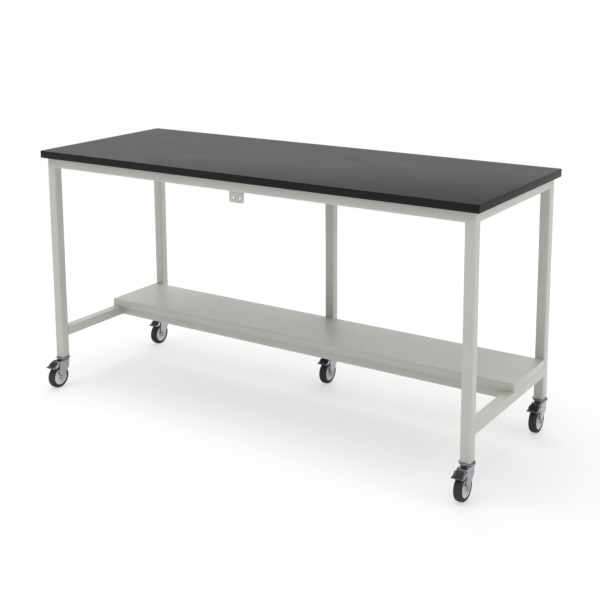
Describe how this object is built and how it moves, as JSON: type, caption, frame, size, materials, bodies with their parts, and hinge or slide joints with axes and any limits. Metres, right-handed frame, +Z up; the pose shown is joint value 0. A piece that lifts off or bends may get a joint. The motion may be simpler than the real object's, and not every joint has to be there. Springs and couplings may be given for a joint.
{
  "type": "lab bench",
  "caption": "Mobile lab bench with a dark laminate worktop on a welded grey square-tube frame, a low storage shelf along the back and braked swivel castors under the legs.",
  "frame": {"origin": "bottom centre of the box around the bench, on the floor", "axes": "+X runs along the length to the right as seen from the front, +Y from the front to the back, +Z up"},
  "size_m": [2, 0.7946, 1.04],
  "materials": {
    "worktop_laminate": "near-black satin laminate with a fine grain",
    "frame_paint": "light warm grey powder coat",
    "castor_zinc": "bright zinc plate",
    "rim_plastic": "light grey moulded plastic",
    "tyre_rubber": "black rubber",
    "pad_plastic": "black moulded plastic"
  },
  "bodies": {
    "frame": {"worktop": "worktop_laminate", "leg_front_left": "frame_paint", "leg_front_right": "frame_paint", "leg_rear_left": "frame_paint", "leg_rear_middle": "frame_paint", "leg_rear_right": "frame_paint", "top_rail_front": "frame_paint", "top_rail_rear": "frame_paint", "top_rail_left": "frame_paint", "top_rail_middle": "frame_paint", "top_rail_right": "frame_paint", "lower_rail_left": "frame_paint", "lower_rail_right": "frame_paint", "shelf_bearer_front": "frame_paint", "shelf_bearer_rear": "frame_paint", "shelf": "frame_paint", "lug_plate": "frame_paint", "castor_front_left_insert": "pad_plastic", "castor_front_left_head": "castor_zinc", "castor_front_right_insert": "pad_plastic", "castor_front_right_head": "castor_zinc", "castor_rear_left_insert": "pad_plastic", "castor_rear_left_head": "castor_zinc", "castor_rear_middle_insert": "pad_plastic", "castor_rear_middle_head": "castor_zinc", "castor_rear_right_insert": "pad_plastic", "castor_rear_right_head": "castor_zinc"},
    "castor_front_left_fork_body": {"castor_front_left_fork": "castor_zinc", "castor_front_left_axle": "castor_zinc"},
    "castor_front_left_wheel_body": {"castor_front_left_rim": "rim_plastic", "castor_front_left_tyre": "tyre_rubber"},
    "castor_front_left_brake_body": {"castor_front_left_pedal": "castor_zinc", "castor_front_left_pad": "pad_plastic"},
    "castor_front_right_fork_body": {"castor_front_right_fork": "castor_zinc", "castor_front_right_axle": "castor_zinc"},
    "castor_front_right_wheel_body": {"castor_front_right_rim": "rim_plastic", "castor_front_right_tyre": "tyre_rubber"},
    "castor_front_right_brake_body": {"castor_front_right_pedal": "castor_zinc", "castor_front_right_pad": "pad_plastic"},
    "castor_rear_left_fork_body": {"castor_rear_left_fork": "castor_zinc", "castor_rear_left_axle": "castor_zinc"},
    "castor_rear_left_wheel_body": {"castor_rear_left_rim": "rim_plastic", "castor_rear_left_tyre": "tyre_rubber"},
    "castor_rear_left_brake_body": {"castor_rear_left_pedal": "castor_zinc", "castor_rear_left_pad": "pad_plastic"},
    "castor_rear_middle_fork_body": {"castor_rear_middle_fork": "castor_zinc", "castor_rear_middle_axle": "castor_zinc"},
    "castor_rear_middle_wheel_body": {"castor_rear_middle_rim": "rim_plastic", "castor_rear_middle_tyre": "tyre_rubber"},
    "castor_rear_middle_brake_body": {"castor_rear_middle_pedal": "castor_zinc", "castor_rear_middle_pad": "pad_plastic"},
    "castor_rear_right_fork_body": {"castor_rear_right_fork": "castor_zinc", "castor_rear_right_axle": "castor_zinc"},
    "castor_rear_right_wheel_body": {"castor_rear_right_rim": "rim_plastic", "castor_rear_right_tyre": "tyre_rubber"},
    "castor_rear_right_brake_body": {"castor_rear_right_pedal": "castor_zinc", "castor_rear_right_pad": "pad_plastic"}
  },
  "joints": [
    {"name": "castor_front_left_swivel", "type": "hinge", "parent": "frame", "child": "castor_front_left_fork_body", "pos_m": [-0.96, -0.31267, 0.10957], "axis": [0, 0, 1], "continuous": true},
    {"name": "castor_front_left_roll", "type": "hinge", "parent": "castor_front_left_fork_body", "child": "castor_front_left_wheel_body", "pos_m": [-0.96, -0.34567, 0.04957], "axis": [1, 0, 0], "continuous": true},
    {"name": "castor_front_left_brake", "type": "hinge", "parent": "castor_front_left_fork_body", "child": "castor_front_left_brake_body", "pos_m": [-0.96, -0.34467, 0.10957], "axis": [1, 0, 0], "range_deg": [0, 10]},
    {"name": "castor_front_right_swivel", "type": "hinge", "parent": "frame", "child": "castor_front_right_fork_body", "pos_m": [0.96, -0.31267, 0.10957], "axis": [0, 0, 1], "continuous": true},
    {"name": "castor_front_right_roll", "type": "hinge", "parent": "castor_front_right_fork_body", "child": "castor_front_right_wheel_body", "pos_m": [0.96, -0.34567, 0.04957], "axis": [1, 0, 0], "continuous": true},
    {"name": "castor_front_right_brake", "type": "hinge", "parent": "castor_front_right_fork_body", "child": "castor_front_right_brake_body", "pos_m": [0.96, -0.34467, 0.10957], "axis": [1, 0, 0], "range_deg": [0, 10]},
    {"name": "castor_rear_left_swivel", "type": "hinge", "parent": "frame", "child": "castor_rear_left_fork_body", "pos_m": [-0.96, 0.35733, 0.10957], "axis": [0, 0, 1], "continuous": true},
    {"name": "castor_rear_left_roll", "type": "hinge", "parent": "castor_rear_left_fork_body", "child": "castor_rear_left_wheel_body", "pos_m": [-0.96, 0.32433, 0.04957], "axis": [1, 0, 0], "continuous": true},
    {"name": "castor_rear_left_brake", "type": "hinge", "parent": "castor_rear_left_fork_body", "child": "castor_rear_left_brake_body", "pos_m": [-0.96, 0.32533, 0.10957], "axis": [1, 0, 0], "range_deg": [0, 10]},
    {"name": "castor_rear_middle_swivel", "type": "hinge", "parent": "frame", "child": "castor_rear_middle_fork_body", "pos_m": [0, 0.35733, 0.10957], "axis": [0, 0, 1], "continuous": true},
    {"name": "castor_rear_middle_roll", "type": "hinge", "parent": "castor_rear_middle_fork_body", "child": "castor_rear_middle_wheel_body", "pos_m": [0, 0.32433, 0.04957], "axis": [1, 0, 0], "continuous": true},
    {"name": "castor_rear_middle_brake", "type": "hinge", "parent": "castor_rear_middle_fork_body", "child": "castor_rear_middle_brake_body", "pos_m": [0, 0.32533, 0.10957], "axis": [1, 0, 0], "range_deg": [0, 10]},
    {"name": "castor_rear_right_swivel", "type": "hinge", "parent": "frame", "child": "castor_rear_right_fork_body", "pos_m": [0.96, 0.35733, 0.10957], "axis": [0, 0, 1], "continuous": true},
    {"name": "castor_rear_right_roll", "type": "hinge", "parent": "castor_rear_right_fork_body", "child": "castor_rear_right_wheel_body", "pos_m": [0.96, 0.32433, 0.04957], "axis": [1, 0, 0], "continuous": true},
    {"name": "castor_rear_right_brake", "type": "hinge", "parent": "castor_rear_right_fork_body", "child": "castor_rear_right_brake_body", "pos_m": [0.96, 0.32533, 0.10957], "axis": [1, 0, 0], "range_deg": [0, 10]}
  ]
}
